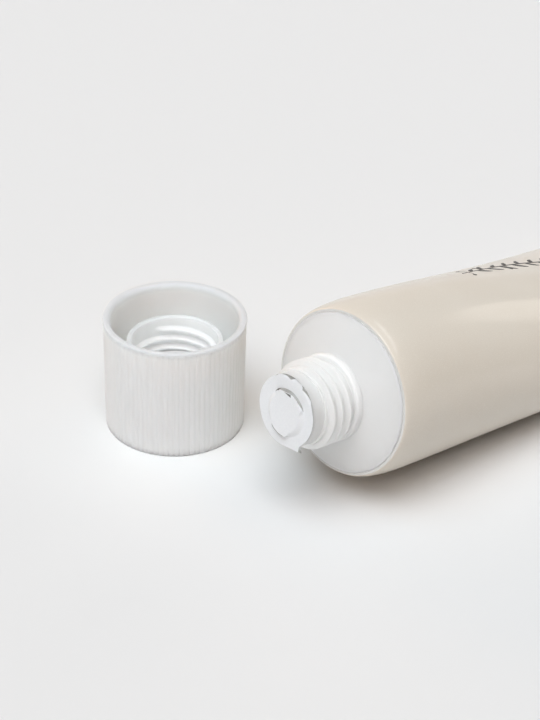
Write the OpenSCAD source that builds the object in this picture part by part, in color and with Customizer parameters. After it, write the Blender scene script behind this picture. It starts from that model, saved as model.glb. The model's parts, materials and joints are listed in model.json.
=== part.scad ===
// Squeeze tube of sunscreen lying on its side, foil seal still on its neck,
// with the screw cap stood open end up on the table beside it.
// Millimetres, +Z up, +X towards the tail of the tube, +Y towards the cap.
// The origin is on the table, in the middle of the footprint of tube and cap together.

/* [Sleeve] */
// Outer diameter of the sleeve where it is round, behind its front corner
tube_d = 35; // [32:0.5:50]
// Length of the sleeve along its axis, from its front edge to the end of the crimp
sleeve_len = 141; // [100:1:180]
// Thickness of the sleeve wall
wall = 0.5; // [0.3:0.05:0.8]
// How much the soft front corner adds to the radius
corner_rise = 1.1; // [0.8:0.1:2]
// Length of the soft front corner along the axis
corner_len = 8; // [7.5:0.5:14]
// How softly the round part runs into the taper, as a share of the taper's length
taper_ease = 0.22; // [0.1:0.01:0.3]
// Length of the flat crimped band at the tail
crimp_len = 7; // [4:0.5:12]
// Thickness of the crimped band
crimp_t = 1.1; // [0.8:0.05:1.6]

/* [Head] */
// Distance along the axis from the front of the neck to the front edge of the sleeve
neck_len = 14.7; // [14:0.1:20]
// Bore through the neck
bore_d = 11; // [9:0.1:12]
// Plain leading part of the neck, which carries the seal
lead_d = 14.3; // [14.2:0.05:14.6]
// Length of the plain leading part
lead_len = 2.7; // [2:0.1:3]
// Neck between the turns of the thread
root_d = 15.1; // [14.8:0.05:15.3]
// Collar at the foot of the neck
collar_d = 17.2; // [16.4:0.1:18]
// Length of the collar along the axis
collar_len = 1.4; // [0.8:0.1:1.6]
// Slope of the shoulder, in degrees from square to the axis
shoulder_slope = 22; // [18:1:24]
// Thickness of the shoulder and of its skirt
shoulder_t = 1.5; // [1:0.1:2]
// Length of the skirt that holds the sleeve
skirt_len = 7; // [4:0.5:7]
// Gap left between the skirt and the sleeve
skirt_gap = 0.05; // [0.03:0.01:0.1]

/* [Thread] */
// Pitch of the thread
pitch = 2.15; // [2:0.05:2.3]
// Height of a ridge above the root
ridge_h = 1.05; // [0.8:0.05:1.1]
// Width of a ridge at its root
ridge_base = 1.25; // [1:0.05:1.3]
// Width of a ridge at its crest
ridge_top = 0.55; // [0.4:0.05:0.7]
// Radial clearance between the crest of one thread and the root of the other
thread_gap = 0.15; // [0.1:0.05:0.25]
// Turns of thread on the neck
neck_turns = 2.75; // [2:0.25:2.75]
// Turns of thread in the cap
cap_turns = 2.25; // [1.5:0.25:2.5]

/* [Seal] */
// Diameter of the foil seal
seal_d = 14.15; // [13.6:0.05:14.2]
// Thickness of the foil, with its plastic backing
seal_t = 0.3; // [0.2:0.05:0.4]
// Diameter of the raised middle of the seal, at its foot
dome_d = 9.7; // [8:0.1:10]
// Height of the raised middle above the foil
dome_h = 0.7; // [0.3:0.05:0.9]
// Distance from the middle of the seal to the fold line of the pull tab
fold_r = 6.1; // [5.6:0.05:6.2]
// Width of the pull tab
tab_w = 5.6; // [4:0.1:6]
// How far the pull tab stands out past the edge of the seal
tab_reach = 1.9; // [1.5:0.1:3.5]
// Direction of the pull tab round the seal, in degrees from straight down
tab_turn = -33; // [-60:1:60]

/* [Cap] */
// Outer diameter of the cap at its open rim
cap_d = 29.2; // [28.8:0.1:30]
// Outer diameter of the cap at its closed end, over the ribs
cap_end_d = 28.5; // [28:0.05:28.8]
// Height of the cap
cap_h = 24.5; // [24:0.1:30]
// Thickness of the cap's outer wall, under its ribs
cap_wall = 1.6; // [1.2:0.1:1.8]
// Thickness of the closed end
cap_end_t = 1.5; // [1:0.1:2.5]
// Height of the plain bead round the rim
bead_h = 0.65; // [0.5:0.05:2]
// How far the bead stands out past the ribs
bead_out = 0.12; // [0.05:0.01:0.3]
// Number of ribs round the cap
rib_count = 82; // [60:1:110]
// Depth of the grooves between the ribs
rib_depth = 0.36; // [0.1:0.02:0.44]
// Radius of the rounded inner edge of the rim
lip_round = 0.9; // [0.5:0.1:1]
// Depth of the threaded sleeve's mouth below the rim
mouth_drop = 5.3; // [4:0.1:5.6]
// Wall of the threaded sleeve, outside its thread's root
insert_wall = 1.05; // [0.8:0.05:1.4]
// Thickness of the floor across the threaded sleeve
web_t = 1.2; // [0.8:0.1:2]
// Thickness of the sealing ring that lies on that floor
liner_t = 1; // [0.8:0.1:1.5]
// Gap between the rim and the shoulder when the cap is screwed home
home_gap = 0.3; // [0.2:0.05:0.6]
// Gap between parts that are assembled into one another
fit_gap = 0.05; // [0.03:0.01:0.1]

/* [Layout] */
// Distance of the cap's axis behind the front of the seal, along the tube
cap_x = 5.8; // [-10:0.1:60]
// Distance of the cap's axis from the axis of the tube, to the side
cap_y = 38.5; // [37:0.1:60]

/* [Hidden] */

// Points round each ring of the sleeve and of its contents
ring_n = 48;
// Steps of the front corner, and of the long taper
corner_n = 6;
taper_n = 10;
// Steps in one turn of a thread
turn_n = 36;
// Steps round full curves
round_n = 120;

// Places along the tube's axis, from the front face of the seal
lip_s = seal_t;
edge_s = lip_s + neck_len;
round_s = edge_s + corner_len;
tail_s = edge_s + sleeve_len;
crimp_s = tail_s - crimp_len;
skirt_s = edge_s + skirt_len;
lead_s = lip_s + lead_len;

tube_r = tube_d / 2;
edge_r = tube_r - corner_rise;
collar_r = collar_d / 2;
crest_r = root_d / 2 + ridge_h;
seal_r = seal_d / 2;

// A flattened sleeve keeps its girth, so the crimp is half the girth wide
crimp_r = PI * tube_r / 2;

// Taper of the sleeve, by k from 0 at the end of the round part to 1 at the crimp:
// how far it has gone from round to flat, its place along the axis, and half its height
function eased(k) = k - taper_ease * (1 - exp(-k / taper_ease));
function flattened(k) = eased(k) / eased(1);
function taper_s(k) = round_s + (crimp_s - round_s) * k;
function taper_a(k) = tube_r + (crimp_t / 2 - tube_r) * flattened(k);
taper_ks = [for (i = [0 : taper_n]) i / taper_n];

// Exponent of the sleeve's ring at the crimp, which is 2 where it is round
crimp_p = 6;
// How far along the taper the hollow and the filling reach
hollow_k = 0.97;
filling_k = 0.95;

// The tube lies on the low line of its body and on the end of its crimp
tilt = max([for (k = taper_ks) atan((taper_a(k) - crimp_t / 2) / (tail_s - taper_s(k)))]);
// Height of the middle of the seal above the table
seal_z = max([for (k = taper_ks) taper_s(k) * sin(tilt) + taper_a(k) * cos(tilt)]);

// Shoulder face and its inner face, along the axis at radius r
function shoulder_s(r) = edge_s - (edge_r - r) * tan(shoulder_slope);
function inner_s(r) = shoulder_s(r) + shoulder_t / cos(shoulder_slope);
bore_end_s = inner_s(bore_d / 2);

// Foot of the collar, where it meets the shoulder
collar_s = shoulder_s(collar_r);

// First turn of the neck's thread: where it starts along the axis and round it
neck_start_s = lead_s + ridge_base / 2;
neck_start_a = 165;

// The pull tab bends by this angle. The disc ends so far short of the fold line that
// the face of the bent tab clears the edge of the disc
tab_bend = 120;
fold_back = seal_t / 2 * tan(tab_bend / 2) + fit_gap;

// Cap, with its closed end at the table and its height measured upwards
cap_r = cap_d / 2;
rim_flat_r = cap_r - cap_wall + lip_round;
rim_home_s = shoulder_s(rim_flat_r) - home_gap;
mouth_z = cap_h - mouth_drop;
liner_top_z = cap_h - (rim_home_s - lip_s);
web_top_z = liner_top_z - liner_t;
insert_bore_r = crest_r + thread_gap;
insert_r = insert_bore_r + insert_wall;
cap_crest_r = insert_bore_r - ridge_h;
liner_r = insert_bore_r - fit_gap;
liner_hole_r = dome_d / 2 + thread_gap;
locator_r = insert_r + fit_gap;
locator_h = 2;
locator_t = 1;

// The cap's thread starts just above the sealing ring, and ends at this angle round the cap from +X
cap_start_z = liner_top_z + ridge_base / 2 + thread_gap;
cap_end_a = 81;

// Middle of the footprint, from the front of the seal and the tube's axis
low_x = min(cap_x - cap_r, -seal_r * sin(tilt) - dome_h);
high_x = tail_s * cos(tilt) + crimp_t / 2 * sin(tilt);
high_y = max(cap_y + cap_r, crimp_r);
origin_x = (low_x + high_x) / 2;
origin_y = (high_y - crimp_r) / 2;

// Places children on the tube's axis: local Z runs towards the tail, local X downwards
module on_tube() {
    translate([-origin_x, -origin_y, seal_z])
        rotate([0, 90 + tilt, 0])
            children();
}

// Places children on the cap's axis, standing on the table
module on_cap() {
    translate([cap_x - origin_x, cap_y - origin_y, 0])
        children();
}

// Turns children to the side of the seal where the tab is; local X then points along the tab
module at_tab() {
    rotate([0, 0, tab_turn])
        children();
}

// One ring of points: half height a along X, half width b along Y, at z
// The exponent p is 2 for an ellipse and larger for a boxier ring
function bend(v, p) = sign(v) * pow(abs(v), 2 / p);
function ring(a, b, z, p = 2) = [
    for (i = [0 : ring_n - 1])
        [a * bend(cos(360 * i / ring_n), p), b * bend(sin(360 * i / ring_n), p), z]
];

// Faces that join rings of n points in order, with a flat face at each end
function skin_faces(rings, n) = concat(
    [[for (i = [0 : n - 1]) i]],
    [for (j = [0 : rings - 2], i = [0 : n - 1])
        [j * n + i, (j + 1) * n + i, (j + 1) * n + (i + 1) % n]],
    [for (j = [0 : rings - 2], i = [0 : n - 1])
        [j * n + i, (j + 1) * n + (i + 1) % n, j * n + (i + 1) % n]],
    [[for (i = [n - 1 : -1 : 0]) (rings - 1) * n + i]]
);

// Radius of the sleeve's outside at distance s along its soft front corner
function corner_r(s) = edge_r + corner_rise * sqrt(1 - pow(1 - min(1, (s - edge_s) / corner_len), 2));

// The rings of the sleeve, set in by d from its outer surface, from front to tail
function corner_ring(s, d) = ring(corner_r(s) - d, corner_r(s) - d, s);
function taper_ring(k, d) = ring(
    taper_a(k) - d * (1 - k / 2),
    tube_r + (crimp_r - tube_r) * flattened(k) - d,
    taper_s(k),
    2 + (crimp_p - 2) * pow(k, 3)
);
function sleeve_rings(d, from_s, last_k) = concat(
    [for (i = [0 : corner_n - 1]) corner_ring(from_s + (round_s - from_s) * (1 - cos(90 * i / corner_n)), d)],
    [for (k = taper_ks) taper_ring(last_k * k, d)]
);
function reversed(v) = [for (i = [len(v) - 1 : -1 : 0]) v[i]];
function flat(v) = [for (row = v, p = row) p];

// Thin sleeve of the tube, round at the front and pressed flat at the tail
module tube_sleeve() {
    outer = concat(sleeve_rings(0, edge_s, 1), [ring(crimp_t / 2, crimp_r, tail_s, crimp_p)]);
    inner = sleeve_rings(wall, edge_s, hollow_k);
    rings = concat(reversed(inner), outer);
    color([0.86, 0.83, 0.79])
        on_tube()
            polyhedron(points = flat(rings), faces = skin_faces(len(rings), ring_n), convexity = 4);
}

// Ridge of a right-handed thread round Z. It starts at angle a0 and height z0,
// and runs out smoothly into its wall over its first and last steps.
// root and crest are radii, and crest is less than root for a thread inside a bore.
module thread_ridge(root, crest, turns, a0, z0) {
    steps = round(turns * turn_n);
    fade_n = 2;
    side = sign(crest - root);
    sunk = 0.35;
    end_sunk = 0.1;
    slope = (ridge_base - ridge_top) / ridge_h;
    points = [
        for (i = [0 : steps])
            let (
                a = a0 + 360 * i / turn_n,
                z = z0 + pitch * i / turn_n,
                grow = min(1, i / fade_n, (steps - i) / fade_n),
                top = root + side * (ridge_h * grow - end_sunk * (1 - grow)),
                foot = root - side * sunk,
                half_top = (ridge_base - slope * (abs(top - root))) / 2,
                half_foot = (ridge_base + slope * sunk) / 2
            )
            each [
                for (q = [[foot, -half_foot], [foot, half_foot], [top, half_top], [top, -half_top]])
                    [q[0] * cos(a), q[0] * sin(a), z + q[1]]
            ]
    ];
    faces = skin_faces(steps + 1, 4);
    polyhedron(
        points = points,
        faces = side > 0 ? faces : [for (f = faces) reversed(f)],
        convexity = 6
    );
}

// Moulded head: threaded neck, collar, sloping shoulder and the skirt that the sleeve is bonded to
module tube_head() {
    skirt_ring_s = [
        for (i = [0 : corner_n])
            let (s = edge_s + corner_len * (1 - cos(90 * i / corner_n)))
            if (s < skirt_s) s
    ];
    outline = concat(
        [
            [bore_d / 2, lip_s],
            [lead_d / 2, lip_s],
            [lead_d / 2, lead_s],
            [root_d / 2, lead_s],
            [root_d / 2, collar_s - collar_len],
            [collar_r, collar_s - collar_len],
            [collar_r, collar_s],
            [edge_r - wall - skirt_gap, shoulder_s(edge_r - wall - skirt_gap)]
        ],
        [for (s = concat(skirt_ring_s, [skirt_s])) [corner_r(s) - wall - skirt_gap, s]],
        [
            [corner_r(skirt_s) - wall - skirt_gap - shoulder_t, skirt_s],
            [edge_r - wall - skirt_gap - shoulder_t, inner_s(edge_r - wall - skirt_gap - shoulder_t)],
            [bore_d / 2, bore_end_s]
        ]
    );
    color([0.95, 0.95, 0.94])
        on_tube() {
            rotate_extrude($fn = round_n)
                polygon(outline);
            thread_ridge(root_d / 2, crest_r, neck_turns, neck_start_a, neck_start_s);
        }
}

// The cream that fills the tube behind the neck's bore
module sunscreen_cream() {
    gap = 0.1;
    skirt_in = edge_r - wall - skirt_gap - shoulder_t - gap;
    front = [
        ring(bore_d / 2, bore_d / 2, bore_end_s + gap),
        ring(skirt_in, skirt_in, inner_s(skirt_in) + gap),
        ring(skirt_in, skirt_in, skirt_s + gap)
    ];
    rings = concat(front, sleeve_rings(wall + gap, skirt_s + 2 * gap, filling_k));
    color([0.98, 0.96, 0.9])
        on_tube()
            polyhedron(points = flat(rings), faces = skin_faces(len(rings), ring_n), convexity = 2);
}

// Foil seal over the mouth of the neck, with its middle raised
module seal_disc() {
    dome_slope = 0.3;
    color([0.89, 0.89, 0.9])
        on_tube()
            difference() {
                union() {
                    cylinder(r = seal_r, h = seal_t, $fn = round_n);
                    translate([0, 0, -dome_h])
                        cylinder(r1 = dome_d / 2 - dome_slope, r2 = dome_d / 2, h = dome_h, $fn = round_n);
                }
                at_tab()
                    translate([fold_r - fold_back, -seal_r, -dome_h - 1])
                        cube([seal_r, 2 * seal_r, dome_h + seal_t + 2]);
            }
}

// Pull tab of the seal: a rounded tongue that bends at a rounded fold line
module seal_tab() {
    tip_x = seal_r + tab_reach;
    hinge_w = 0.8 * tab_w;
    color([0.89, 0.89, 0.9])
        on_tube()
            at_tab() {
                linear_extrude(height = seal_t)
                    intersection() {
                        translate([fold_r, -tab_w / 2])
                            square([tip_x - fold_r, tab_w]);
                        translate([tip_x - tab_w / 2, 0])
                            circle(d = tab_w, $fn = round_n);
                    }
                translate([fold_r, hinge_w / 2, seal_t / 2])
                    rotate([90, 0, 0])
                        cylinder(d = seal_t, h = hinge_w, $fn = 24);
            }
}

// Outer shell of the cap: closed end, ribbed tapering wall, plain bead and rounded rim
module cap_shell() {
    ribs_h = cap_h - bead_h;
    outer_round = 0.35;
    locator_sunk = 0.2;
    // Rounded ribs with sharp grooves: steps across one rib, and the depth at each
    rib_steps = [[0, 1], [0.2, 0.3], [0.5, 0], [0.8, 0.3]];
    rib_points = [
        for (i = [0 : rib_count - 1], step = rib_steps)
            let (
                a = 360 * (i + step[0]) / rib_count,
                r = cap_end_d / 2 - step[1] * rib_depth
            )
            [r * cos(a), r * sin(a)]
    ];
    color([0.9, 0.9, 0.9])
        on_cap() {
            difference() {
                union() {
                    linear_extrude(height = ribs_h, scale = (cap_r - bead_out) / (cap_end_d / 2))
                        polygon(rib_points);
                    translate([0, 0, ribs_h])
                        cylinder(r = cap_r, h = bead_h - outer_round, $fn = round_n);
                    translate([0, 0, cap_h - outer_round])
                        cylinder(r1 = cap_r, r2 = cap_r - outer_round, h = outer_round, $fn = round_n);
                }
                rotate_extrude($fn = round_n)
                    polygon(concat(
                        [
                            [0, cap_end_t],
                            [cap_end_d / 2 - rib_depth - cap_wall, cap_end_t],
                            [cap_r - cap_wall, cap_h - lip_round]
                        ],
                        [
                            for (a = [15 : 15 : 90])
                                [rim_flat_r - lip_round * cos(a), cap_h - lip_round + lip_round * sin(a)]
                        ],
                        [[rim_flat_r, cap_h + 1], [0, cap_h + 1]]
                    ));
            }
            translate([0, 0, cap_end_t - locator_sunk])
                difference() {
                    cylinder(r = locator_r + locator_t, h = locator_h + locator_sunk, $fn = round_n);
                    translate([0, 0, -1])
                        cylinder(r = locator_r, h = locator_h + 2, $fn = round_n);
                }
        }
}

// Threaded sleeve inside the cap, closed by a floor that the sealing ring lies on
module cap_insert() {
    mouth_chamfer = 0.3;
    color([0.97, 0.97, 0.97])
        on_cap() {
            rotate_extrude($fn = round_n)
                polygon([
                    [insert_bore_r, cap_end_t],
                    [insert_r, cap_end_t],
                    [insert_r, mouth_z],
                    [insert_bore_r + mouth_chamfer, mouth_z],
                    [insert_bore_r, mouth_z - mouth_chamfer],
                    [insert_bore_r, web_top_z],
                    [0, web_top_z],
                    [0, web_top_z - web_t],
                    [insert_bore_r, web_top_z - web_t]
                ]);
            thread_ridge(
                insert_bore_r,
                cap_crest_r,
                cap_turns,
                cap_end_a - 360 * cap_turns,
                cap_start_z
            );
        }
}

// Loose sealing ring on the floor of the threaded sleeve
module cap_liner() {
    color([0.82, 0.84, 0.86])
        on_cap()
            translate([0, 0, web_top_z])
                difference() {
                    cylinder(r = liner_r, h = liner_t, $fn = round_n);
                    translate([0, 0, -1])
                        cylinder(r = liner_hole_r, h = liner_t + 2, $fn = round_n);
                }
}

tube_sleeve();
tube_head();
sunscreen_cream();
seal_disc();
seal_tab();
cap_shell();
cap_insert();
cap_liner();
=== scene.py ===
"""Looks of the squeeze tube and its cap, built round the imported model.

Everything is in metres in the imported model's own frame. Sizes of small forms are written in
millimetres and turned into metres by MM.
"""

import json
import math
import random

import bmesh
import bpy
from mathutils import Matrix, Vector


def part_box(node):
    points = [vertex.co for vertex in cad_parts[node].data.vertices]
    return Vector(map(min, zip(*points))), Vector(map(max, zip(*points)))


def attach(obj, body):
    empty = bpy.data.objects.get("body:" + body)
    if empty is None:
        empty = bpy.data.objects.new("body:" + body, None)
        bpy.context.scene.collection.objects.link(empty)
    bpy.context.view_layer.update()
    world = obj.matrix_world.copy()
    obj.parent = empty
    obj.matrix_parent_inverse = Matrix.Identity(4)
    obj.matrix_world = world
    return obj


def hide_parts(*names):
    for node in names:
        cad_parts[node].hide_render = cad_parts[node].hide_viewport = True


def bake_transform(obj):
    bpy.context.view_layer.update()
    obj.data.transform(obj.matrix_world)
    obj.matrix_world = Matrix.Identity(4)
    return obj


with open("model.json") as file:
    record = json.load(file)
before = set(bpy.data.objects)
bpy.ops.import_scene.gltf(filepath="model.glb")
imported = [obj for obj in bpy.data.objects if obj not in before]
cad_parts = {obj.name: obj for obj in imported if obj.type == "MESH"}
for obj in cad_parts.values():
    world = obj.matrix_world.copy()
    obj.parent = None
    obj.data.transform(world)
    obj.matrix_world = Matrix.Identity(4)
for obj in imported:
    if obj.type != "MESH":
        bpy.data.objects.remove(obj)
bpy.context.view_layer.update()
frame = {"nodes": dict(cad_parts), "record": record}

MM = 0.001
TAU = 2 * math.pi

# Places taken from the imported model
MOUNTS = {m["name"]: m for m in frame["record"]["mounts"]}
BORE_POINT = Vector(MOUNTS["neck_bore"]["pos_m"])
BORE_R = MOUNTS["neck_bore"]["dims"]["r_mm"]
ALONG = -Vector(MOUNTS["neck_bore"]["axis"]).normalized()
ACROSS = Vector((0, 1, 0))
DOWN = ACROSS.cross(ALONG)
CAP_ORIGIN = Vector(MOUNTS["cap_end"]["pos_m"])


def extent(node, direction, origin):
    """Least and greatest distance of a node from origin along direction, in millimetres."""
    distances = [(v.co - origin).dot(direction) / MM for v in frame["nodes"][node].data.vertices]
    return min(distances), max(distances)


# The tube's own axis starts at the front face of its seal and runs to the tail
TUBE_ORIGIN = BORE_POINT + ALONG * extent("seal_tab", ALONG, BORE_POINT)[0] * MM
LIP_S, SKIRT_S = extent("tube_head", ALONG, TUBE_ORIGIN)
EDGE_S, TAIL_S = extent("tube_sleeve", ALONG, TUBE_ORIGIN)
CRIMP_R = extent("tube_sleeve", ACROSS, TUBE_ORIGIN)[1]
SEAL_R = extent("seal_disc", ACROSS, TUBE_ORIGIN)[1]

# Sleeve
TUBE_R = 17.5
WALL = 0.5
CORNER_RISE = 1.1
CORNER_LEN = 8.0
TAPER_EASE = 0.22
CRIMP_LEN = 7.0
CRIMP_T = 1.1
EDGE_R = TUBE_R - CORNER_RISE
ROUND_S = EDGE_S + CORNER_LEN
CRIMP_S = TAIL_S - CRIMP_LEN

# Head
LEAD_R = 7.15
LEAD_S = LIP_S + 2.7
ROOT_R = 7.55
COLLAR_R = 8.6
COLLAR_LEN = 1.4
SHOULDER_SLOPE = math.radians(22)
SHOULDER_T = 1.5
SKIRT_GAP = 0.05
SHOULDER_R = EDGE_R - WALL - SKIRT_GAP
SHOULDER_THROUGH = SHOULDER_T / math.cos(SHOULDER_SLOPE)

# Thread of neck and cap
PITCH = 2.15
RIDGE_H = 1.05
RIDGE_BASE = 1.25
RIDGE_FADE = 0.055
THREAD_GAP = 0.15
NECK_TURNS = 2.75
NECK_START_A = math.radians(165)
CAP_TURNS = 2.25
CAP_END_A = math.radians(81)

# Seal
SEAL_T = 0.3
DOME_R = 4.8
DOME_H = 0.7
DOME_MIDDLE = (-0.12, -0.28)

# Cap
CAP_LOW, CAP_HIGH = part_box("cap_shell")
CAP_H = (CAP_HIGH.z - CAP_LOW.z) / MM
CAP_R = (CAP_HIGH.x - CAP_LOW.x) / 2 / MM
CAP_END_R = 14.25
CAP_WALL = 1.6
CAP_END_T = 1.5
BEAD_H = 0.65
BEAD_OUT = 0.12
RIBS = 82
RIB_DEPTH = 0.18
LIP_ROUND = 0.9
# Height range at the top of the shell that is painted in shade
SHELL_SHADED_RIM = (22.9, 24.3)
INSERT_LOW, INSERT_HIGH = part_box("cap_insert")
INSERT_R = (INSERT_HIGH.x - INSERT_LOW.x) / 2 / MM
MOUTH_Z = INSERT_HIGH.z / MM
INSERT_BORE_R = ROOT_R + RIDGE_H + THREAD_GAP
# Height range at the insert's mouth that is painted in shade
INSERT_SHADED_RIM = (18.7, 19.15)
WEB_T = 1.2
LINER_LOW, LINER_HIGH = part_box("cap_liner")
LINER_R = (LINER_HIGH.x - LINER_LOW.x) / 2 / MM
LINER_HOLE_R = 5.0
LINER_PLAY = 0.03
LOCATOR_H = 2.0
LOCATOR_T = 1.0
FIT_GAP = 0.05


def tube_point(x, y, s):
    """Point of the tube's own frame: x downwards, y towards the cap, s along the axis."""
    return TUBE_ORIGIN + (DOWN * x + ACROSS * y + ALONG * s) * MM


def cap_point(x, y, z):
    """Point of the cap's own frame, which stands on the table."""
    return CAP_ORIGIN + Vector((x, y, z)) * MM


def clamp(value):
    """The value held between 0 and 1."""
    return max(0.0, min(1.0, value))


def smooth(value):
    """Smooth step from 0 to 1."""
    value = clamp(value)
    return value * value * (3 - 2 * value)


def path(corners, step):
    """Points along straight lines between corners (x, y, radius), rounded by their radius.

    Short guard segments beside each arc keep the shading of the flats flat.
    """
    arc_steps = 5
    longest_guard = 0.08
    line = []
    for i, (x, y, radius) in enumerate(corners):
        here = Vector((x, y))
        if radius == 0 or i in (0, len(corners) - 1):
            line.append(here)
            continue
        before = Vector(corners[i - 1][:2]) - here
        after = Vector(corners[i + 1][:2]) - here
        half = before.angle(after) / 2
        reach = min(radius / math.tan(half), 0.45 * before.length, 0.45 * after.length)
        before.normalize()
        after.normalize()
        middle = (before + after).normalized()
        centre = here + middle * (reach / math.cos(half))
        arc_r = reach * math.tan(half)
        first = here + before * reach - centre
        last = here + after * reach - centre
        guard = min(longest_guard, 0.3 * reach)
        line.append(here + before * (reach + guard))
        for k in range(arc_steps + 1):
            line.append(centre + between_spokes(first, last, k / arc_steps) * arc_r)
        line.append(here + after * (reach + guard))
    points = [line[0]]
    for a, b in zip(line, line[1:]):
        parts = max(1, math.ceil((b - a).length / step))
        points += [a.lerp(b, (k + 1) / parts) for k in range(parts)]
    return [(p.x, p.y) for p in points]


def between_spokes(first, last, share):
    """Direction that lies at a share of the way round from one spoke to another."""
    a = math.atan2(first.y, first.x)
    b = math.atan2(last.y, last.x)
    sweep = (b - a + math.pi) % TAU - math.pi
    return Vector((math.cos(a + sweep * share), math.sin(a + sweep * share)))


def turned(points, columns, place, shape=None):
    """Rows of points that turn a path of (radius, height) round an axis."""
    rows = []
    for r, h in points:
        row = []
        for i in range(columns):
            a = TAU * i / columns
            radius = shape(r, h, a) if shape else r
            row.append(place(radius * math.cos(a), radius * math.sin(a), h))
        rows.append(row)
    return rows


def skin(rows, looped=False):
    """Vertices and faces over rows of equal length, each row a closed ring.

    A looped skin joins its last row to its first. Otherwise each end is closed by a fan.
    """
    n = len(rows[0])
    points = [p for row in rows for p in row]
    faces = []
    count = len(rows) if looped else len(rows) - 1
    for j in range(count):
        a = j * n
        b = (j + 1) % len(rows) * n
        for i in range(n):
            k = (i + 1) % n
            faces.append((a + i, a + k, b + k, b + i))
    if not looped:
        for start in (0, (len(rows) - 1) * n):
            centre = sum((points[start + i] for i in range(n)), Vector()) / n
            points.append(centre)
            faces += [(start + i, start + (i + 1) % n, len(points) - 1) for i in range(n)]
    return points, faces


def new_object(name, data):
    """An object of the scene that holds the data."""
    obj = bpy.data.objects.new(name, data)
    bpy.context.scene.collection.objects.link(obj)
    return obj


def point_values(obj, name, values):
    """Gives each point of a mesh a value that its material reads by name."""
    layer = obj.data.attributes.new(name, "FLOAT", "POINT")
    layer.data.foreach_set("value", values)


def piece(name, points, faces, material, body):
    """A smooth-shaded mesh that rides on a body."""
    mesh = bpy.data.meshes.new(name)
    mesh.from_pydata([tuple(p) for p in points], [], faces)
    shell = bmesh.new()
    shell.from_mesh(mesh)
    bmesh.ops.recalc_face_normals(shell, faces=shell.faces)
    shell.to_mesh(mesh)
    shell.free()
    mesh.shade_smooth()
    mesh.materials.append(material)
    obj = new_object(name, mesh)
    if body:
        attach(obj, body)
    return obj


# Materials

def new_material(name):
    """A material with its node tree, its shader and the object's own coordinates."""
    material = bpy.data.materials.new(name)
    material.use_nodes = True
    tree = material.node_tree
    shader = tree.nodes["Principled BSDF"]
    coords = tree.nodes.new("ShaderNodeTexCoord")
    return material, tree, shader, coords.outputs["Object"]


def noise(tree, coords, scale, detail):
    """Noise in the object's own coordinates, with scale in waves per metre."""
    node = tree.nodes.new("ShaderNodeTexNoise")
    node.inputs["Scale"].default_value = scale
    node.inputs["Detail"].default_value = detail
    tree.links.new(coords, node.inputs["Vector"])
    return node.outputs["Fac"]


def ranged(tree, value, low, high, from_low=0.3, from_high=0.7):
    """A value between two levels."""
    node = tree.nodes.new("ShaderNodeMapRange")
    node.inputs["From Min"].default_value = from_low
    node.inputs["From Max"].default_value = from_high
    node.inputs["To Min"].default_value = low
    node.inputs["To Max"].default_value = high
    tree.links.new(value, node.inputs["Value"])
    return node.outputs["Result"]


def mixed(tree, factor, first, second):
    """A colour between two colours. Each is a colour or another node's output."""
    node = tree.nodes.new("ShaderNodeMix")
    node.data_type = "RGBA"
    tree.links.new(factor, node.inputs["Factor"])
    for socket, colour in (("A", first), ("B", second)):
        target = [s for s in node.inputs if s.name == socket and s.type == "RGBA"][0]
        if isinstance(colour, tuple):
            target.default_value = (*colour, 1)
        else:
            tree.links.new(colour, target)
    return [s for s in node.outputs if s.type == "RGBA"][0]


def attribute(tree, name):
    """Value of a point attribute of the mesh."""
    node = tree.nodes.new("ShaderNodeAttribute")
    node.attribute_name = name
    return node.outputs["Fac"]


def bumped(tree, shader, height, distance, strength):
    """Fine relief of the surface, distance deep."""
    node = tree.nodes.new("ShaderNodeBump")
    node.inputs["Distance"].default_value = distance
    node.inputs["Strength"].default_value = strength
    tree.links.new(height, node.inputs["Height"])
    tree.links.new(node.outputs["Normal"], shader.inputs["Normal"])


def linear(*srgb):
    """Linear colour of an 8-bit sRGB colour."""
    return tuple(
        c / 255 / 12.92 if c <= 10.31 else ((c / 255 + 0.055) / 1.055) ** 2.4 for c in srgb
    )


def moulded(name, light, dark, rough, grain, subsurface=0.0, scatter=(1, 1, 1), coat=0.0,
            rim=None, edge=None, bump=0.5):
    """Moulded plastic: faint clouding, fine grain, and light that spreads a little inside it.

    light and dark are the colours of the clouding. rim is a height range and a colour: towards its
    upper height the plastic is painted that colour, painted shade that stands in for a thin rim
    that passes light on. edge is the colour where the attribute edge is 1, a painted light that
    brightens the plastic there.
    """
    material, tree, shader, coords = new_material(name)
    clouds = noise(tree, coords, 120, detail=4)
    fine = noise(tree, coords, grain, detail=2)
    colour = mixed(tree, ranged(tree, clouds, 0, 1), light, dark)
    # Painted shade: the colour goes over to the rim colour towards the top of the rim's height range
    if rim:
        low, high, painted_rim_shade = rim
        parts = tree.nodes.new("ShaderNodeSeparateXYZ")
        tree.links.new(coords, parts.inputs["Vector"])
        share = ranged(tree, parts.outputs["Z"], 0, 1, low * MM, high * MM)
        colour = mixed(tree, share, colour, painted_rim_shade)
    # Painted light: where the attribute edge is 1 the plastic takes the lighter edge colour
    if edge:
        colour = mixed(tree, attribute(tree, "edge"), colour, edge)
    tree.links.new(colour, shader.inputs["Base Color"])
    tree.links.new(ranged(tree, fine, rough - 0.05, rough + 0.07), shader.inputs["Roughness"])
    shader.inputs["IOR"].default_value = 1.5
    shader.inputs["Subsurface Weight"].default_value = subsurface
    shader.inputs["Subsurface Radius"].default_value = scatter
    shader.inputs["Subsurface Scale"].default_value = 1.0 * MM
    shader.inputs["Coat Weight"].default_value = coat
    shader.inputs["Coat Roughness"].default_value = 0.2
    bumped(tree, shader, fine, 0.006 * MM, bump)
    return material


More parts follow.
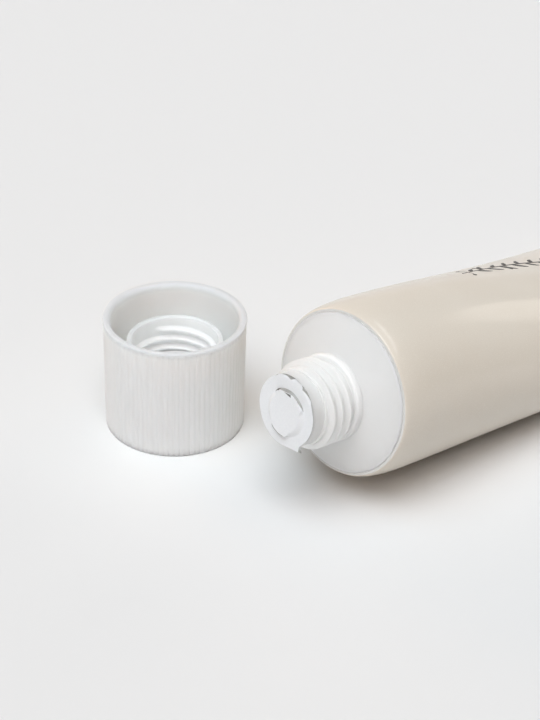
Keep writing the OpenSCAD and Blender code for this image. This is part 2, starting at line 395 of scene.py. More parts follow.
def pearl():
    """Champagne lacquer of the sleeve, with fine pearl flakes and a clear coat.

    The attribute core shows where the white core of the laminate comes to its cut front edge.
    """
    light = linear(223, 215, 203)
    dark = linear(220, 211, 198)
    flake = linear(240, 236, 226)
    core = linear(218, 217, 214)
    material, tree, shader, coords = new_material("sleeve_pearl")
    clouds = noise(tree, coords, 40, detail=3)
    flakes = noise(tree, coords, 9000, detail=1)
    base = mixed(tree, ranged(tree, clouds, 0, 1), light, dark)
    glint = mixed(tree, ranged(tree, flakes, 0, 0.5, 0.55, 0.75), base, flake)
    shown = mixed(tree, attribute(tree, "core"), glint, core)
    tree.links.new(shown, shader.inputs["Base Color"])
    tree.links.new(ranged(tree, flakes, 0.36, 0.46), shader.inputs["Roughness"])
    shader.inputs["Specular IOR Level"].default_value = 0.2
    shader.inputs["Coat Weight"].default_value = 0.6
    shader.inputs["Coat Roughness"].default_value = 0.1
    bumped(tree, shader, flakes, 0.004 * MM, 0.4)
    return material


def foil():
    """Lacquered sealing foil.

    Where the point attribute is a half, the foil takes a grey metal colour and some metallic gloss:
    painted shade and reflection on its steep and bent facets. At 1 it is nearly black, painted shade
    along the creases. A quarter gives the foil's back a grey metal tint.
    """
    lacquer_light = linear(240, 242, 244)
    lacquer_dark = linear(236, 238, 241)
    # Grey metal: a tint on the foil's back, and painted shade and reflection on its steep and bent
    # facets
    metal_light = linear(182, 182, 178)
    metal_dark = linear(168, 168, 165)
    # Nearly black, painted shade along the creases
    crease_shade = linear(66, 64, 64)
    material, tree, shader, coords = new_material("sealing_foil")
    bare_and_shaded_level = attribute(tree, "bare_and_shaded")
    fine = noise(tree, coords, 2500, detail=3)
    lacquer = mixed(tree, ranged(tree, fine, 0, 1), lacquer_light, lacquer_dark)
    metal = mixed(tree, ranged(tree, fine, 0, 1), metal_light, metal_dark)
    bent = mixed(tree, ranged(tree, bare_and_shaded_level, 0, 1, 0.0, 0.5), lacquer, metal)
    creased = mixed(tree, ranged(tree, bare_and_shaded_level, 0, 1, 0.5, 1.0), bent, crease_shade)
    tree.links.new(creased, shader.inputs["Base Color"])
    tree.links.new(ranged(tree, fine, 0.34, 0.46), shader.inputs["Roughness"])
    tree.links.new(ranged(tree, bare_and_shaded_level, 0.05, 0.6, 0.0, 0.5), shader.inputs["Metallic"])
    shader.inputs["Coat Weight"].default_value = 0.15
    shader.inputs["Coat Roughness"].default_value = 0.3
    bumped(tree, shader, fine, 0.012 * MM, 0.5)
    return material


def ink():
    """Black print that sits on the lacquer, a little uneven in gloss."""
    material, tree, shader, coords = new_material("print_ink")
    fine = noise(tree, coords, 3000, detail=4)
    colour = mixed(tree, ranged(tree, fine, 0, 1), linear(30, 28, 28), linear(46, 43, 42))
    tree.links.new(colour, shader.inputs["Base Color"])
    tree.links.new(ranged(tree, fine, 0.38, 0.6), shader.inputs["Roughness"])
    return material


# Painted light: the edge colour is lighter than the head, for the shoulder beside the sleeve
HEAD = moulded("head_plastic", linear(239, 239, 238), linear(237, 238, 237), 0.5, 1800,
               subsurface=1.0, scatter=(3.0, 3.0, 3.0), edge=linear(248, 249, 251))
# Painted shade: the shell turns darker and bluish towards its top rim
SHELL = moulded("cap_shell_plastic", linear(246, 253, 252), linear(244, 252, 251), 0.45, 1500,
                subsurface=1.0, scatter=(4.0, 4.1, 4.1), bump=0.3,
                rim=(*SHELL_SHADED_RIM, linear(212, 216, 221)))
# Painted shade: the insert turns darker towards its mouth rim
INSERT = moulded("cap_insert_plastic", linear(253, 253, 253), linear(252, 252, 252), 0.4, 1800,
                 subsurface=1.0, scatter=(4.0, 4.0, 4.0),
                 rim=(*INSERT_SHADED_RIM, linear(224, 226, 228)))
LINER = moulded("liner_foam", linear(248, 249, 250), linear(244, 245, 246), 0.6, 2600)
CREAM = moulded("cream", linear(250, 246, 236), linear(247, 242, 230), 0.3, 300,
                subsurface=0.4, scatter=(2.0, 1.6, 1.2), coat=0.3)
PEARL = pearl()
FOIL = foil()
INK = ink()


# Tube

def ridge(a, h, start_a, start_h, turns, near_slope, far_slope):
    """Height of a right-handed thread ridge at angle a and height h.

    The slopes are the widths of the flanks on its low side and on its high side.
    """
    part = ((a - start_a) % TAU) / TAU
    near = round((h - start_h) / PITCH - part)
    highest = 0.0
    for whole in (near - 1, near, near + 1):
        along = part + whole
        if not 0 <= along <= turns:
            continue
        off = h - start_h - PITCH * along
        near_flank = (RIDGE_BASE / 2 + off) / near_slope
        far_flank = (RIDGE_BASE / 2 - off) / far_slope
        fade = min(along, turns - along) / RIDGE_FADE
        flanks = smooth(min(near_flank, 1)) * smooth(min(far_flank, 1))
        highest = max(highest, RIDGE_H * flanks * smooth(fade))
    return highest


def corner_radius(s):
    """Outside radius of the sleeve along its soft front corner."""
    part = clamp((s - EDGE_S) / CORNER_LEN)
    return EDGE_R + CORNER_RISE * math.sqrt(1 - (1 - part) ** 2)


def flattened(k):
    """How far the sleeve has gone from round to flat, by k from 0 to 1 along its taper."""
    def eased(v):
        return v - TAPER_EASE * (1 - math.exp(-v / TAPER_EASE))
    return eased(k) / eased(1)


def sleeve_section(s):
    """Half height, half width and squareness of the sleeve's outside at s."""
    if s <= ROUND_S:
        r = corner_radius(s)
        return r, r, 2.0
    k = clamp((s - ROUND_S) / (CRIMP_S - ROUND_S))
    flat = flattened(k)
    half_height = TUBE_R + (CRIMP_T / 2 - TUBE_R) * flat
    return half_height, TUBE_R + (CRIMP_R - TUBE_R) * flat, 2 + 4 * k ** 3


def sleeve_point(s, a, lift=0.0):
    """Point of the sleeve's outside at s and angle a, lifted off it by lift."""
    half_height, half_width, square = sleeve_section(s)
    c = math.cos(a)
    n = math.sin(a)
    x = (half_height + lift) * math.copysign(abs(c) ** (2 / square), c)
    y = (half_width + lift) * math.copysign(abs(n) ** (2 / square), n)
    return tube_point(x, y, s)


def tube_ring(r, places):
    """Ring of points at radius r round the tube's axis, each at its own place along it."""
    columns = len(places)
    return [tube_point(r * math.cos(TAU * i / columns), r * math.sin(TAU * i / columns), s)
            for i, s in enumerate(places)]


def sleeve_row(s, columns, lift=0.0):
    """Ring of points on the sleeve's outside at s, lifted off it by lift."""
    return [sleeve_point(s, TAU * i / columns, lift) for i in range(columns)]


def make_sleeve():
    """Sleeve with a rounded front edge, pressed lines across its crimp and a real wall.

    Its rows run from deep inside round the front edge and back along the outside to the tail.
    """
    columns = 192
    round_r = 0.06
    line_pitch = 0.95
    line_depth = 0.09
    tail_round = 0.3
    within_rows = 7
    edge_rows = 5
    corner_rows = 18
    taper_rows = 70
    crimp_rows = 60
    tail_rows = 4
    rows = []
    deepest = CRIMP_S - 6
    for s in (deepest, 110, 80, 50, 35, ROUND_S):
        rows.append(sleeve_row(s, columns, -WALL))
    for k in range(1, within_rows + 1):
        s = ROUND_S - (CORNER_LEN - round_r) * math.sin(math.pi / 2 * k / within_rows)
        rows.append(sleeve_row(s, columns, -WALL))
    inner_r = EDGE_R - WALL
    for k in range(1, edge_rows + 1):
        a = math.pi / 2 * k / edge_rows
        s = EDGE_S + round_r * (1 - math.sin(a))
        rows.append(tube_ring(inner_r + round_r * (1 - math.cos(a)), [s] * columns))
    edge_end = len(rows) + 1
    for k in range(corner_rows + 1):
        s = ROUND_S - CORNER_LEN * math.cos(math.pi / 2 * k / corner_rows)
        rows.append(sleeve_row(s, columns))
    for k in range(1, taper_rows + 1):
        rows.append(sleeve_row(ROUND_S + (CRIMP_S - ROUND_S) * k / taper_rows, columns))
    for k in range(1, crimp_rows + 1):
        s = CRIMP_S + (CRIMP_LEN - tail_round) * k / crimp_rows
        ends = smooth(min(k, crimp_rows - k) / 5)
        wave = -line_depth * ends * (0.5 - 0.5 * math.cos(TAU * (s - CRIMP_S) / line_pitch))
        rows.append(sleeve_row(s, columns, wave))
    for k in range(1, tail_rows + 1):
        a = math.pi / 2 * k / tail_rows
        s = TAIL_S - tail_round * (1 - math.sin(a))
        rows.append(sleeve_row(s, columns, -tail_round * (1 - math.cos(a))))
    points, faces = skin(rows)
    sleeve = piece("sleeve", points, faces, PEARL, "tube")
    point_values(sleeve, "core", [
        1.0 if k // columns < edge_end else 0.0 for k in range(len(points))
    ])
    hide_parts("tube_sleeve")


def shoulder_s(r):
    """Place along the axis of the sloping shoulder's outside at radius r."""
    return EDGE_S - (EDGE_R - r) * math.tan(SHOULDER_SLOPE)


def make_head():
    """Moulded head: lip, threaded neck, collar, shoulder and skirt as one smooth skin."""
    columns = 240
    collar_s = shoulder_s(COLLAR_R)
    collar_from = collar_s - COLLAR_LEN
    in_r = SHOULDER_R - SHOULDER_T
    bore_end = shoulder_s(BORE_R) + SHOULDER_THROUGH
    bore_mid = (LIP_S + bore_end) / 2
    neck_start_s = LEAD_S + RIDGE_BASE / 2
    covered_s = EDGE_S + 0.1

    def threaded(r, h, a):
        if r < LEAD_R or not LEAD_S < h < collar_from:
            return r
        return max(r, ROOT_R + ridge(
            a, h, NECK_START_A, neck_start_s, NECK_TURNS, near_slope=0.75, far_slope=0.35,
        ))

    front = path([
        (BORE_R, bore_mid, 0),
        (BORE_R, LIP_S, 0.25),
        (LEAD_R, LIP_S, 0.3),
        (LEAD_R, LEAD_S, 0.1),
        (ROOT_R, LEAD_S, 0.15),
        (ROOT_R, LEAD_S + 0.3, 0),
    ], step=0.5)
    neck = path([
        (ROOT_R, LEAD_S + 0.3, 0),
        (ROOT_R, collar_from, 0.25),
        (COLLAR_R, collar_from, 0.7),
        (COLLAR_R, collar_s - 0.3, 0),
    ], step=0.07)
    shoulder = path([
        (COLLAR_R, collar_s - 0.3, 0),
        (COLLAR_R, collar_s, 0.3),
        (SHOULDER_R, shoulder_s(SHOULDER_R), 0.06),
        (corner_radius(covered_s) - WALL - SKIRT_GAP, covered_s, 0),
    ], step=0.6)
    skirt = [
        (corner_radius(s) - WALL - SKIRT_GAP, s)
        for s in (EDGE_S + 0.3 + (SKIRT_S - EDGE_S - 0.3) * k / 8 for k in range(9))
    ]
    skirt_r = skirt[-1][0]
    inside = path([
        (skirt_r - 0.2, SKIRT_S, 0),
        (skirt_r - SHOULDER_T, SKIRT_S, 0.2),
        (in_r, shoulder_s(in_r) + SHOULDER_THROUGH, 0.3),
        (BORE_R, bore_end, 0.3),
        (BORE_R, bore_mid + 0.5, 0),
    ], step=1.0)
    outline = front + neck[1:] + shoulder[1:] + skirt + inside
    points, faces = skin(turned(outline, columns, tube_point, threaded), looped=True)
    head = piece("head", points, faces, HEAD, "tube")
    # Painted light: the shoulder is painted lighter towards its rim beside the sleeve, filling in
    # the shade of the joint
    spread = 0.6
    point_values(head, "edge", [
        smooth((r - SHOULDER_R + spread) / spread) if s < covered_s else 0.0
        for r, s in outline for _ in range(columns)
    ])
    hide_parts("tube_head")


def make_cream():
    """Cream inside the tube, with a soft dimpled front at the end of the bore."""
    columns = 96
    front_rows = 11
    side_rows = 30
    gap = 0.1
    ripple = 0.12
    out_r = SHOULDER_R - SHOULDER_T - gap
    front_s = shoulder_s(BORE_R) + SHOULDER_THROUGH + gap

    def rippled(share, k, i):
        dip = 0.35 * math.cos(math.pi * share) + 0.35
        wave = ripple * (1 - share) * math.sin(2 * TAU * i / columns + k * 0.6)
        return front_s + dip * 0.6 + wave

    rows = []
    for k in range(1, front_rows + 1):
        heights = [rippled(k / front_rows, k, i) for i in range(columns)]
        rows.append(tube_ring(BORE_R * k / front_rows, heights))
    for s in (shoulder_s(out_r) + SHOULDER_THROUGH + gap, SKIRT_S + gap):
        rows.append(tube_ring(out_r, [s] * columns))
    for k in range(side_rows + 1):
        s = SKIRT_S + 2 * gap + (CRIMP_S - 7 - SKIRT_S) * k / side_rows
        rows.append(sleeve_row(s, columns, -WALL - gap))
    points, faces = skin(rows)
    cream = piece("cream_fill", points, faces, CREAM, "tube")
    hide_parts("sunscreen_cream")


# Seal

def window(value, low, high, soft):
    """1 between low and high, falling to 0 over soft on each side."""
    return smooth((value - low) / soft + 0.5) * smooth((high - value) / soft + 0.5)


def in_polygon(y, z, corners):
    """1 inside a convex polygon whose corners run anticlockwise, falling to 0 at its sides."""
    soft = 0.08
    nearest = math.inf
    for (y0, z0), (y1, z1) in zip(corners, corners[1:] + corners[:1]):
        length = math.hypot(y1 - y0, z1 - z0)
        nearest = min(nearest, ((y1 - y0) * (z - z0) - (z1 - z0) * (y - y0)) / length)
    return smooth(nearest / soft + 0.5)


def tent(value, low, peak, high):
    """Share that rises in a straight line from low to peak and falls again to high."""
    return max(0.0, min((value - low) / (peak - low), (high - value) / (high - peak)))


def seal_edge(a):
    """Outline radius of the foil at angle a in degrees, from the cap's side over the top.

    The pull tab is on its lower right. One side of the tab leaves the circle along a tangent
    and the other curves back into it.
    """
    tangent_a, tip_a, foot_a = -97.0, -124.5, -136.0
    if tip_a <= a <= tangent_a:
        return SEAL_R / math.cos(math.radians(a - tangent_a))
    if foot_a <= a < tip_a:
        tip_r = SEAL_R / math.cos(math.radians(tip_a - tangent_a))
        return SEAL_R + (tip_r - SEAL_R) * (1 - (tip_a - a) / (tip_a - foot_a)) ** 3
    return SEAL_R + 0.2 * window(a, 66, 150, 20)


def tab_curl(a):
    """1 where the tab's tip is curled back behind its edge, else 0."""
    return window(a, -127, -117, 5)


def rim_bend(a):
    """How far the foil's edge is bent back onto the lip at angle a."""
    return 0.26 * max(window(a, 76, 100, 10), window(a, 114, 143, 10))


def dome_run(a):
    """Width of the wall round the raised middle: steep above and below, soft at the sides."""
    side_run = 1.2
    upper_run = 0.14 + 0.32 * math.exp(-((a - 86) / 16) ** 2)
    lower_run = 0.12 + 0.3 * clamp((a + 105) / 50)
    run = side_run + window(a, 46, 160, 18) * (upper_run - side_run)
    return run + window(a, -112, -50, 24) * (lower_run - side_run)


def edge_wave(a):
    """Slight waviness of the foil's edge at angle a."""
    return 0.04 * math.sin(5 * math.radians(a) + 1.3)


def dome_distance(y, z):
    """Distance from the middle of the raised part."""
    return math.hypot(y - DOME_MIDDLE[0], z - DOME_MIDDLE[1])


def seal_height(rho, a, y, z):
    """How far the foil stands out in front of its plane, in millimetres."""
    raised = DOME_H * smooth((DOME_R - dome_distance(y, z)) / dome_run(a))
    dent = 0.10 * math.exp(-(rho / 2.6) ** 2)
    bent_back = rim_bend(a) * smooth((rho - 6.5) / 0.6)
    waved = edge_wave(a) * smooth((rho - 5.4) / 1.5)
    return raised - dent - bent_back + waved


def seal_bare_and_shaded(rho, a, y, z):
    """Painted shade and reflection of the foil: about a half, grey like uncoated metal, on steep and
    bent facets, and 1, nearly black, along the creases.
    """
    off = dome_distance(y, z)
    run = dome_run(a)
    crest = DOME_R - run
    up = smooth((DOME_R - off) / run)
    # Painted reflection: the steep wall over the raised middle is painted grey for the dark
    # surroundings it reflects
    reach = 0.94 * clamp((158 - a) / 24)
    facet_shade = 0.0
    if crest < off < DOME_R:
        facet_shade = window(up, 0.0, reach, 0.1) * window(a, 52, 157, 3)
    # Two lengths of the edge that are bent back, painted grey, each with a dark line of painted
    # shade on its inner side
    crease_shade = 0
    for low, peak, high, depth in ((71, 90, 98.5, 0.62), (113, 118, 143, 0.58)):
        share = tent(a, low, peak, high)
        if share > 0:
            inner = seal_edge(a) - depth * share
            facet_shade = max(facet_shade, smooth((rho - inner) / 0.06 + 0.5))
            crease_shade = max(crease_shade, 0.35 * share * window(rho, inner - 0.03, inner + 0.07, 0.05))
    # Painted shade: a dark line where the steep wall begins, and a small dark wrinkle painted at its
    # crest
    crease_shade = max(crease_shade, window(a, 50, 64, 3) * window(off, crest - 0.1, DOME_R, 0.06))
    fold_shade = [(-1.3, 3.6), (-0.5, 3.74), (0.55, 4.0), (-0.4, 4.1), (-1.15, 4.15)]
    crease_shade = max(crease_shade, 0.8 * in_polygon(y, z, fold_shade))
    # Painted shade: a dark band along the wall below the raised middle, which turns away into shade,
    # and a dark mark at a nick in the edge
    heel_shade = window(a, -100, -57, 8) * (0.35 + 0.3 * clamp((a + 106) / 40))
    crease_shade = max(crease_shade, heel_shade * window(off, crest - 0.16, DOME_R + 0.1, 0.06))
    crease_shade = max(crease_shade, 0.5 * window(a, 57, 62, 3) * smooth((rho - 6.9) / 0.2))
    return max(0.5 * facet_shade, crease_shade)


def make_seal():
    """Foil seal in one sheet: raised middle, bent edge and a curled pull tab, with painted creases
    and painted shade on its steep and bent parts.
    """
    columns = 360
    inner_r, outer_r = 3.5, 5.3
    middle_rows = 24
    wall_rows = 60
    edge_rows = 48
    back_rows = 20
    back_s = SEAL_T - 0.02
    back_bare = 0.25
    drawn_in = 0.03
    angles = [-180 + 360 * i / columns for i in range(columns)]

    def place(rho, a, s):
        return tube_point(-rho * math.sin(math.radians(a)), rho * math.cos(math.radians(a)), s)

    rows = []
    bare_and_shaded = []
    radii = [(inner_r * k / middle_rows, 0) for k in range(1, middle_rows + 1)]
    wall = outer_r - inner_r
    radii += [(inner_r + wall * k / wall_rows, 0) for k in range(1, wall_rows + 1)]
    radii += [(outer_r, k / edge_rows) for k in range(1, edge_rows + 1)]
    for radius, share in radii:
        row = []
        for a in angles:
            rho = radius + (seal_edge(a) - outer_r) * share
            y = rho * math.cos(math.radians(a))
            z = rho * math.sin(math.radians(a))
            row.append(place(rho, a, -seal_height(rho, a, y, z)))
            bare_and_shaded.append(seal_bare_and_shaded(rho, a, y, z))
        rows.append(row)
    # How far the curled tip of the tab reaches out and back, from its front round to its back
    curl = [
        (0.12, 0.1), (0.22, 0.3), (0.35, 0.55), (0.5, 0.8), (0.42, 0.82), (0.27, 0.57), (0.12, 0.35),
    ]
    for k, (out, along) in enumerate(curl, 1):
        row = []
        for a in angles:
            rho = seal_edge(a)
            share = tab_curl(a)
            edge_s = rim_bend(a) - edge_wave(a)
            thin_s = edge_s + (back_s - edge_s) * k / (len(curl) + 1)
            curled_s = thin_s + share * (along - thin_s)
            row.append(place(rho - drawn_in + share * (out + drawn_in), a, curled_s))
            # The curled tip is painted darker: painted shade where it turns away from the light
            bare_and_shaded.append(back_bare + 0.3 * share)
        rows.append(row)
    back = []
    for k in range(back_rows, 0, -1):
        back.append([place((seal_edge(a) - 0.06) * k / back_rows, a, back_s) for a in angles])
        bare_and_shaded += [back_bare] * columns
    points, faces = skin(rows + back)
    bare_and_shaded += [0.0, back_bare]
    seal = piece("foil_seal", points, faces, FOIL, None)
    # The attribute carries the painted shade and reflection worked out for each point
    point_values(seal, "bare_and_shaded", bare_and_shaded)
    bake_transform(seal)
    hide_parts("seal_disc", "seal_tab")


# Cap

def make_cap_shell():
    """Ribbed shell with a rounded rim, a plain bead and a closed end."""
    columns = RIBS * 8
    neck_r = CAP_R - BEAD_OUT
    ribs_top = CAP_H - BEAD_H
    foot_round = 0.2
    rise = 0.25
    rise_steps = 6
    lip_steps = 9
    inner_top_r = CAP_R - CAP_WALL
    inner_low_r = CAP_END_R - RIB_DEPTH - CAP_WALL
    locator_r = INSERT_R + FIT_GAP

    def ribbed(r, h, a):
        wall_r = CAP_END_R + (neck_r - CAP_END_R) * h / ribs_top
        if r < wall_r - 0.3 or h > ribs_top:
            return r
        share = (a * RIBS / TAU) % 1
        groove = (1 - math.sin(math.pi * share)) ** 1.2
        fade = smooth((ribs_top - h) / rise)
        return r - RIB_DEPTH * groove * fade

    outside = path([
        (CAP_END_R - 3, 0, 0),
        (CAP_END_R, 0, foot_round),
        (neck_r, ribs_top, 0),
    ], step=1.5)
    close = [(neck_r, ribs_top - rise * (1 - k / rise_steps)) for k in range(rise_steps + 1)]
    rim = path([
        (neck_r, ribs_top, 0),
        (CAP_R, ribs_top + 0.1, 0.1),
        (CAP_R, CAP_H, 0.35),
        (inner_top_r + LIP_ROUND + 0.1, CAP_H, 0),
    ], step=0.3)
    round_centre = (inner_top_r + LIP_ROUND, CAP_H - LIP_ROUND)
    lip = [
        (round_centre[0] - LIP_ROUND * math.sin(a), round_centre[1] + LIP_ROUND * math.cos(a))
        for a in (math.pi / 2 * k / lip_steps for k in range(lip_steps + 1))
    ]
    within = path([
        (inner_top_r, CAP_H - LIP_ROUND - 0.2, 0),
        (inner_low_r, CAP_END_T, 0.5),
        (locator_r + LOCATOR_T, CAP_END_T, 0.2),
        (locator_r + LOCATOR_T, CAP_END_T + LOCATOR_H, 0.2),
        (locator_r, CAP_END_T + LOCATOR_H, 0.2),
        (locator_r, CAP_END_T, 0.1),
        (2, CAP_END_T, 0),
    ], step=1.0)
    outline = [p for p in outside if p[1] < ribs_top - rise] + close + rim[1:] + lip + within
    points, faces = skin(turned(outline, columns, cap_point, ribbed))
    shell = piece("cap_shell_skin", points, faces, SHELL, "cap")
    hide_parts("cap_shell")


def make_cap_insert():
    """Threaded sleeve inside the cap, with a floor across it."""
    columns = 240
    web_top = LINER_LOW.z / MM
    start_z = LINER_HIGH.z / MM + RIDGE_BASE / 2 + THREAD_GAP

    def threaded(r, h, a):
        if r > INSERT_BORE_R + 0.01 or not web_top + 0.3 < h < MOUTH_Z:
            return r
        start_a = CAP_END_A - TAU * CAP_TURNS
        return min(r, INSERT_BORE_R - ridge(
            a, h, start_a, start_z, CAP_TURNS, near_slope=0.45, far_slope=0.45,
        ))

    under = path([
        (1, web_top - WEB_T, 0),
        (INSERT_BORE_R, web_top - WEB_T, 0.3),
        (INSERT_BORE_R, CAP_END_T, 0.15),
        (INSERT_R, CAP_END_T, 0.15),
        (INSERT_R, MOUTH_Z, 0.25),
        (INSERT_BORE_R, MOUTH_Z, 0.3),
        (INSERT_BORE_R, MOUTH_Z - 0.6, 0),
    ], step=1.0)
    bore = path([
        (INSERT_BORE_R, MOUTH_Z - 0.6, 0),
        (INSERT_BORE_R, web_top + 0.5, 0),
    ], step=0.07)
    floor = path([
        (INSERT_BORE_R, web_top + 0.5, 0),
        (INSERT_BORE_R, web_top, 0.15),
        (1, web_top, 0),
    ], step=1.0)
    points, faces = skin(turned(under + bore[1:] + floor[1:], columns, cap_point, threaded))
    insert = piece("cap_insert_skin", points, faces, INSERT, "cap")
    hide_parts("cap_insert")


def make_liner():
    """Soft sealing ring with rounded edges and a pressed ring in its top.

    It keeps a little play to the cap that turns round it.
    """
    low = LINER_LOW.z / MM + LINER_PLAY
    high = LINER_HIGH.z / MM
    middle = (LINER_HOLE_R + LINER_R) / 2
    outline = path([
        (middle, low, 0),
        (LINER_R - LINER_PLAY, low, 0.15),
        (LINER_R - LINER_PLAY, high, 0.06),
        (middle + 0.9, high, 0.2),
        (middle + 0.6, high - 0.15, 0.2),
        (middle - 0.6, high - 0.15, 0.2),
        (middle - 0.9, high, 0.2),
        (LINER_HOLE_R, high, 0.2),
        (LINER_HOLE_R, low, 0.15),
        (middle - 0.3, low, 0),
    ], step=0.6)
    columns = 120
    points, faces = skin(turned(outline, columns, cap_point), looped=True)
    liner = piece("liner_ring", points, faces, LINER, "liner")
    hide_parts("cap_liner")


# Print: a sprig with leaves and berries, drawn in brush strokes

def stroke(line, widths):
    """A thin closed ribbon of ink along places (s, w) of the sleeve.

    s runs along the axis and w round the sleeve from its top line.
    """
    lift = 0.03
    points = []
    faces = []
    across = 4
    count = len(line)
    for side in (lift, -lift):
        for j, (s, w) in enumerate(line):
            s0, w0 = line[max(0, j - 1)]
            s1, w1 = line[min(count - 1, j + 1)]
            length = math.hypot(s1 - s0, w1 - w0)
            normal = (-(w1 - w0) / length, (s1 - s0) / length)
            for i in range(across + 1):
                off = widths[j] * (i / across - 0.5)
                place = (s + normal[0] * off, w + normal[1] * off)
                points.append(sleeve_point(place[0], math.pi - place[1] / TUBE_R, side))
    n = across + 1
    layer = count * n
    for j in range(count - 1):
        for i in range(across):
            a = j * n + i
            faces.append((a, a + 1, a + n + 1, a + n))
            faces.append((layer + a, layer + a + n, layer + a + n + 1, layer + a + 1))
        for i in (0, across):
            a = j * n + i
            faces.append((a, a + n, layer + a + n, layer + a))
    for j in (0, count - 1):
        for i in range(across):
            a = j * n + i
            faces.append((a, a + 1, layer + a + 1, layer + a))
    return points, faces


def bend_line(start, end, bow, steps):
    """Places along a line from start to end that bows to one side."""
    line = []
    dx = end[0] - start[0]
    dy = end[1] - start[1]
    for k in range(steps + 1):
        t = k / steps
        side = bow * 4 * t * (1 - t)
        line.append((start[0] + dx * t - dy * side, start[1] + dy * t + dx * side))
    return line


def leaf(start, angle, length, width):
    """A leaf that swells from its stalk and ends in a point."""
    steps = 14
    bow = 0.08 if angle > 0 else -0.08
    end = (start[0] + length * math.cos(angle), start[1] + length * math.sin(angle))
    line = bend_line(start, end, bow, steps)
    widths = []
    for k in range(steps + 1):
        t = k / steps
        widths.append(0.12 + width * math.sin(math.pi * t ** 0.8) ** 0.9 * (1 - 0.35 * t))
    return line, widths


def make_print():
    """Sprig motif on the upper side of the sleeve."""
    rng = random.Random(4)
    stem_from = (54.0, 5.6)
    stem_to = (92.0, 2.6)
    stem_steps = 60
    first_leaf, last_leaf = 6, 54
    leaf_count = 7
    berries = ((4, 1), (4, -1), (14, 1), (25, -1))
    berry_r = 0.45
    berry_steps = 10
    stalk_steps = 8
    stem = bend_line(stem_from, stem_to, 0.05, stem_steps)
    widths = [0.22 + 0.22 * math.sin(math.pi * k / stem_steps) for k in range(stem_steps + 1)]
    strokes = [(stem, widths)]
    for k in range(leaf_count):
        for side in (1, -1):
            shift = 0.0 if side > 0 else 0.45
            j = int(first_leaf + (last_leaf - first_leaf) * (k + shift) / leaf_count)
            angle = side * math.radians(rng.uniform(32, 46))
            length = rng.uniform(3.4, 4.6) * (1 - 0.3 * k / leaf_count)
            strokes.append(leaf(stem[j], angle, length, rng.uniform(0.95, 1.25)))
    strokes.append(leaf(stem[-1], math.radians(-4), 3.6, 0.9))
    round_widths = [
        0.06 + 0.8 * math.sqrt(1 - (k / (berry_steps / 2) - 1) ** 2) for k in range(berry_steps + 1)
    ]
    for j, side in berries:
        s, w = stem[j]
        foot = (s - 0.2, w + side * 0.2)
        berry = (s - 0.9, w + side * 2.2)
        strokes.append((bend_line(foot, berry, 0.1, stalk_steps), [0.16] * (stalk_steps + 1)))
        dot_from = (berry[0] - berry_r, berry[1])
        dot_to = (berry[0] + berry_r, berry[1])
        strokes.append((bend_line(dot_from, dot_to, 0, berry_steps), round_widths))
    points = []
    faces = []
    for line, widths in strokes:
        more, polygons = stroke(line, widths)
        faces += [tuple(len(points) + v for v in f) for f in polygons]
        points += more
    piece("print_sprig", points, faces, INK, "tube")


# Stage, light and camera

BACKGROUND = linear(239, 239, 239)
FLOOR_LIGHT = 1.105     # light on the open floor, which then renders as the background
FLOOR_COLOUR = tuple(c / FLOOR_LIGHT for c in BACKGROUND)
AMBIENT = (0.045, 0.036, 0.028)
FAR_GLOW = (0.76, 0.72, 0.67)
FAR_SIDE = (0.35, 0.94, 0)
LIGHT_LEVEL = 1.02


def make_floor():
    """Pale floor that fills the view and keeps the object's shadow."""
    size = 4.0
    below = 0.02 * MM
    mesh = bpy.data.meshes.new("floor")
    corners = [(-size, -size, 0), (size, -size, 0), (size, size, 0), (-size, size, 0)]
    mesh.from_pydata(corners, [], [(0, 1, 2, 3)])
    floor = new_object("floor", mesh)
    floor.location.z = -below
    material, tree, shader, coords = new_material("floor_paper")
    fine = noise(tree, coords, 60, detail=2)
    darker = tuple(0.998 * c for c in FLOOR_COLOUR)
    colour = mixed(tree, ranged(tree, fine, 0, 1), FLOOR_COLOUR, darker)
    tree.links.new(colour, shader.inputs["Base Color"])
    shader.inputs["Roughness"].default_value = 0.9
    shader.inputs["Specular IOR Level"].default_value = 0.0
    mesh.materials.append(material)


def make_world():
    """Dim surroundings with a pale far side that only reflections show.

    The camera sees them in the floor's colour.
    """
    world = bpy.data.worlds.new("surroundings")
    bpy.context.scene.world = world
    world.use_nodes = True
    tree = world.node_tree
    tree.nodes.clear()
    out = tree.nodes.new("ShaderNodeOutputWorld")
    rays = tree.nodes.new("ShaderNodeLightPath")

    def background(colour, strength=None):
        node = tree.nodes.new("ShaderNodeBackground")
        node.inputs["Color"].default_value = (*colour, 1)
        if strength:
            tree.links.new(strength, node.inputs["Strength"])
        return node.outputs["Background"]

    def chosen(factor, first, second):
        node = tree.nodes.new("ShaderNodeMixShader")
        tree.links.new(rays.outputs[factor], node.inputs["Fac"])
        tree.links.new(first, node.inputs[1])
        tree.links.new(second, node.inputs[2])
        return node.outputs["Shader"]

    direction = tree.nodes.new("ShaderNodeTexCoord")
    towards = tree.nodes.new("ShaderNodeVectorMath")
    towards.operation = "DOT_PRODUCT"
    towards.inputs[1].default_value = Vector(FAR_SIDE).normalized()
    tree.links.new(direction.outputs["Generated"], towards.inputs[0])
    far_side = ranged(tree, towards.outputs["Value"], 0.05, 1.0, 0.2, 0.9)
    lit = chosen("Is Glossy Ray", background(AMBIENT), background(FAR_GLOW, far_side))
    seen = chosen("Is Camera Ray", lit, background(BACKGROUND))
    tree.links.new(seen, out.inputs["Surface"])


def make_sun(name, towards, angle, colour):
    """A far soft light that comes from a direction. A white surface facing it shows its colour."""
    data = bpy.data.lights.new(name, "SUN")
    data.energy = math.pi * LIGHT_LEVEL
    data.angle = math.radians(angle)
    data.color = colour
    lamp = new_object(name, data)
    lamp.rotation_euler = Vector(towards).to_track_quat("Z", "Y").to_euler()


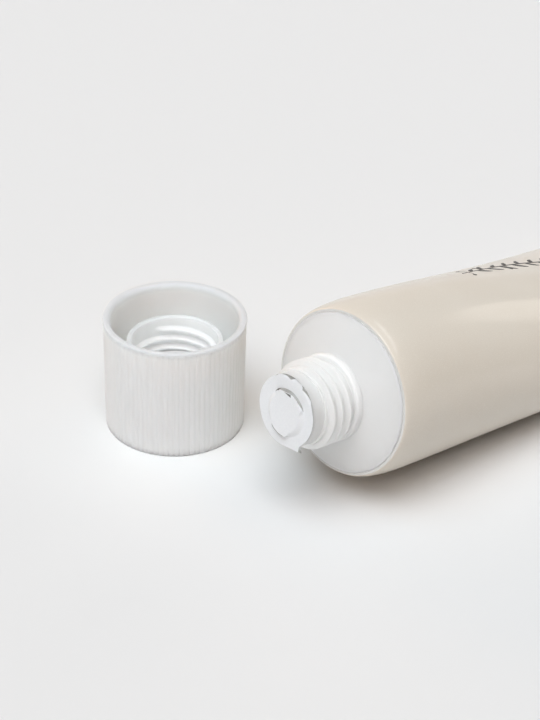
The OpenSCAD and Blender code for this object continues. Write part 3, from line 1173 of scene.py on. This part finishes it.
def make_strip():
    """Long strip lamp seen only in reflections: the streak along the sleeve's front corner."""
    target = tube_point(-14, -8, 16)
    towards = Vector((0.55, -0.10, 0.83)).normalized()
    near_end = Vector((0.407, -0.462, 0.788))
    far_end = Vector((0.501, 0.317, 0.805))
    length_axis = (near_end - far_end).normalized()
    data = bpy.data.lights.new("strip", "AREA")
    data.shape = "RECTANGLE"
    data.size = 0.8
    data.size_y = 0.09
    data.energy = 0.9
    lamp = new_object("strip", data)
    lamp.location = target + towards
    side = length_axis - towards * length_axis.dot(towards)
    side.normalize()
    lamp.rotation_euler = Matrix((side, towards.cross(side), towards)).transposed().to_euler()
    lamp.visible_diffuse = False
    lamp.visible_transmission = False


def make_camera():
    """Camera at the photograph's place and angle."""
    photo_height = 720
    focal_pixels = 1822.7
    place = Vector((-0.27285, -0.21401, 0.21205))
    azimuth = math.radians(44.178)
    pitch = math.radians(32.017)
    roll = math.radians(1.774)
    level_right = Vector((math.cos(azimuth), -math.sin(azimuth), 0))
    level_forward = Vector((math.sin(azimuth), math.cos(azimuth), 0))
    forward = level_forward * math.cos(pitch) + Vector((0, 0, -math.sin(pitch)))
    level_up = level_right.cross(forward)
    right = level_right * math.cos(roll) + level_up * math.sin(roll)
    up = level_up * math.cos(roll) - level_right * math.sin(roll)
    data = bpy.data.cameras.new("camera")
    data.sensor_fit = "VERTICAL"
    data.sensor_height = 36.0
    data.lens = focal_pixels / photo_height * data.sensor_height
    data.clip_start = 0.01
    camera = new_object("camera", data)
    turn = Matrix((right, up, -forward)).transposed()
    camera.matrix_world = Matrix.Translation(place) @ turn.to_4x4()
    bpy.context.scene.camera = camera


make_camera()
make_sleeve()
make_head()
make_cream()
make_seal()
make_cap_shell()
make_cap_insert()
make_liner()
make_print()
make_floor()
make_world()
make_sun("key_left", (-0.5, -0.3, 1), 50, (0.515, 0.467, 0.446))
make_sun("key_top", (-0.35, 0, 1), 50, (0.35, 0.428, 0.48))
make_sun("key_right", (0.25, -0.3, 1), 50, (0.138, 0.132, 0.122))
make_sun("low_right", (3.7, 0, 1), 30, (0.105, 0.095, 0.085))
make_sun("low_far", (0, 3.7, 1), 30, (0.17, 0.10, 0.055))
make_sun("low_left", (-3.7, 0, 1), 30, (0.05, 0.045, 0.04))
make_strip()
bpy.context.scene.view_settings.view_transform = "Standard"
